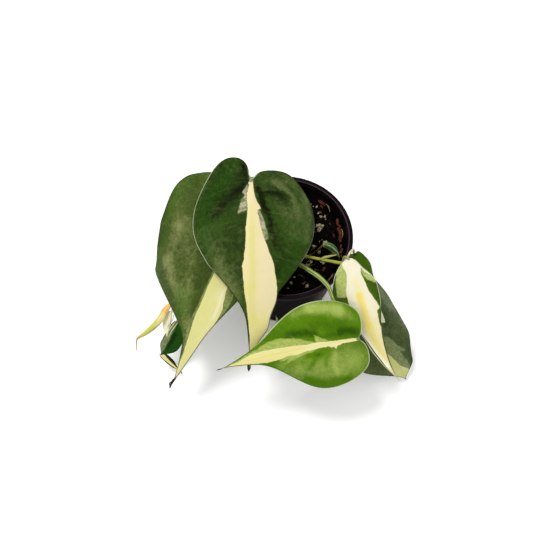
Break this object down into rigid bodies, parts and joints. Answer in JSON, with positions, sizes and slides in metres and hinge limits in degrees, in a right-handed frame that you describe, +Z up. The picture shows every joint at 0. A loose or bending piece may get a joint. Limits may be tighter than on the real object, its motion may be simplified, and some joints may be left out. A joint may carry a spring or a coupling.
{
  "type": "potted silver stripe philodendron",
  "caption": "Young trailing house plant with long-tipped heart-shaped leaves striped cream and grey-green, in a small dark nursery pot, as greenery for a shelf or sill.",
  "frame": {"origin": "middle of the underside of the pot", "axes": "+Z up along the pot's axis, -Y towards the side that most of the leaves hang over, +X to the right as seen from there"},
  "size_m": [0.1726, 0.1252, 0.1086],
  "materials": {
    "pot_plastic": "moulded satin, dark brownish black",
    "potting_mix": "moist dark crumb with perlite and bark",
    "leaf_green": "waxy satin, dark green with cream stripe and grey-green patches",
    "leaf_light": "waxy satin, fresh green with pale yellow stripe",
    "leaf_pale": "waxy satin, cream with green patches",
    "stem_green": "smooth satin, yellow-green",
    "sheath_paper": "dry and papery, pale yellow"
  },
  "bodies": {
    "root": {"pot": "pot_plastic", "soil": "potting_mix", "vine_right": "stem_green", "vine_left": "stem_green", "leaf_front": "leaf_green", "leaf_left": "leaf_green", "leaf_low": "leaf_light", "leaf_cream": "leaf_pale", "leaf_right": "leaf_green", "leaf_young": "leaf_green", "leaf_rolled": "leaf_light", "sheath_papery": "sheath_paper", "leaf_small": "leaf_green"}
  },
  "joints": []
}
